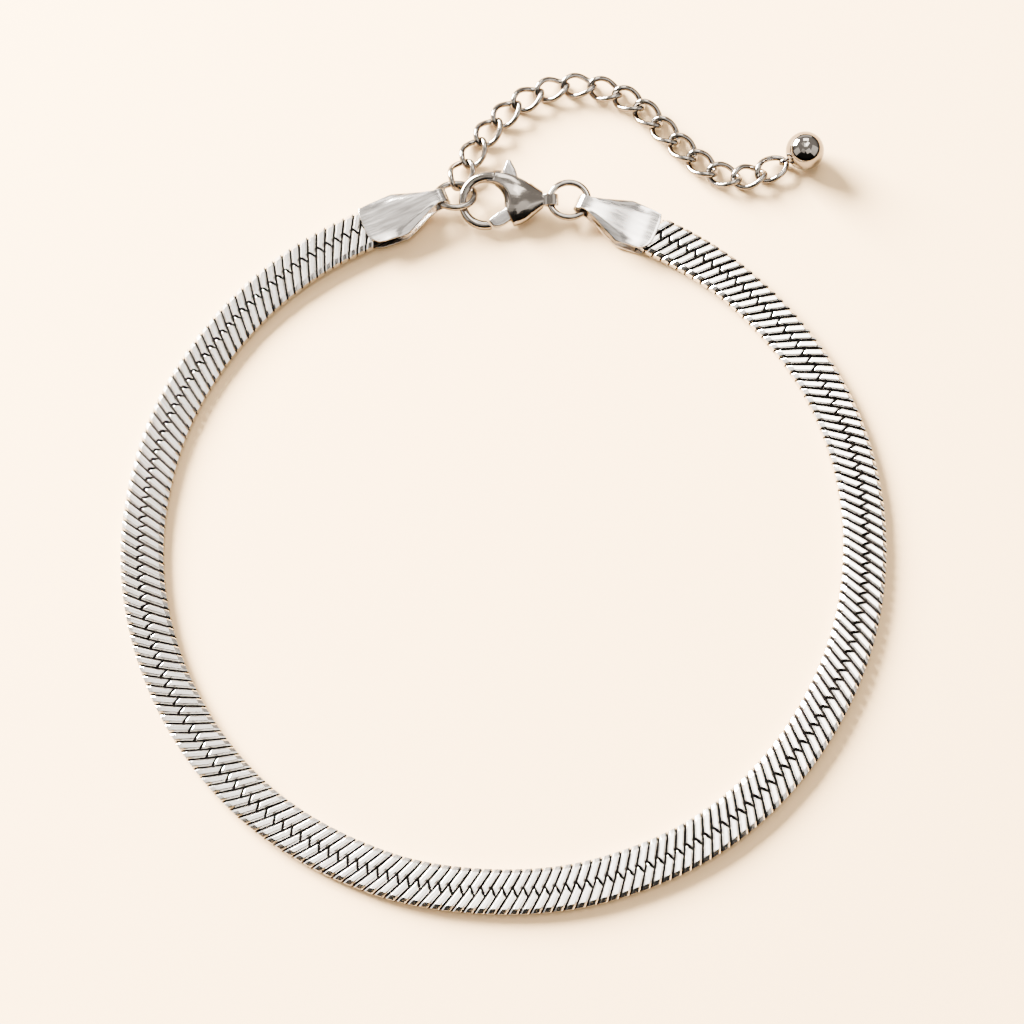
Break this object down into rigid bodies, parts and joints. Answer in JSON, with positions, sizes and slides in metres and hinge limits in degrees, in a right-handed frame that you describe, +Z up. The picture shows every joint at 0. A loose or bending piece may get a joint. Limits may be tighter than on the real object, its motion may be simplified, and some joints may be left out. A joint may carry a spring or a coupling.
{
  "type": "chain anklet",
  "caption": "Flat herringbone chain anklet lying as an open loop, closed by a lobster clasp between folded end caps, with a curb extender chain ending in a polished ball",
  "frame": {"origin": "centre of the anklet's bounding box in plan, at the height of the surface it lies on", "axes": "X runs across the loop from the hook side of the clasp to its tail side, Y runs from the far side of the loop towards the clasp and the extender, Z points up from the surface, through the band's thickness"},
  "size_m": [0.0782, 0.0908, 0.0041],
  "materials": {
    "band_steel": "brushed stainless steel strips with bright edges",
    "sheet_steel": "lightly scratched bright sheet steel",
    "bright_steel": "polished stainless steel",
    "mirror_steel": "mirror polished stainless steel"
  },
  "bodies": {
    "anklet": {"herringbone_chain": "band_steel", "end_cap_left": "sheet_steel", "end_cap_right": "sheet_steel", "jump_ring_left": "bright_steel", "jump_ring_right": "bright_steel", "clasp_body": "bright_steel", "extender_link_01": "bright_steel", "extender_link_02": "bright_steel", "extender_link_03": "bright_steel", "extender_link_04": "bright_steel", "extender_link_05": "bright_steel", "extender_link_06": "bright_steel", "extender_link_07": "bright_steel", "extender_link_08": "bright_steel", "extender_link_09": "bright_steel", "extender_link_10": "bright_steel", "extender_link_11": "bright_steel", "extender_link_12": "bright_steel", "extender_link_13": "bright_steel", "extender_link_14": "bright_steel", "extender_link_15": "bright_steel", "extender_link_16": "bright_steel", "end_ball": "mirror_steel"},
    "lever": {"clasp_lever": "bright_steel"}
  },
  "joints": [
    {"name": "lever_pivot", "type": "hinge", "parent": "anklet", "child": "lever", "pos_m": [0.00149, 0.02908, 0.00144], "axis": [-0.0078, 0.2755, -0.9613], "range_deg": [0, 22], "stiffness_Nm_per_rad": 0.005, "springref_deg": -20.05}
  ]
}
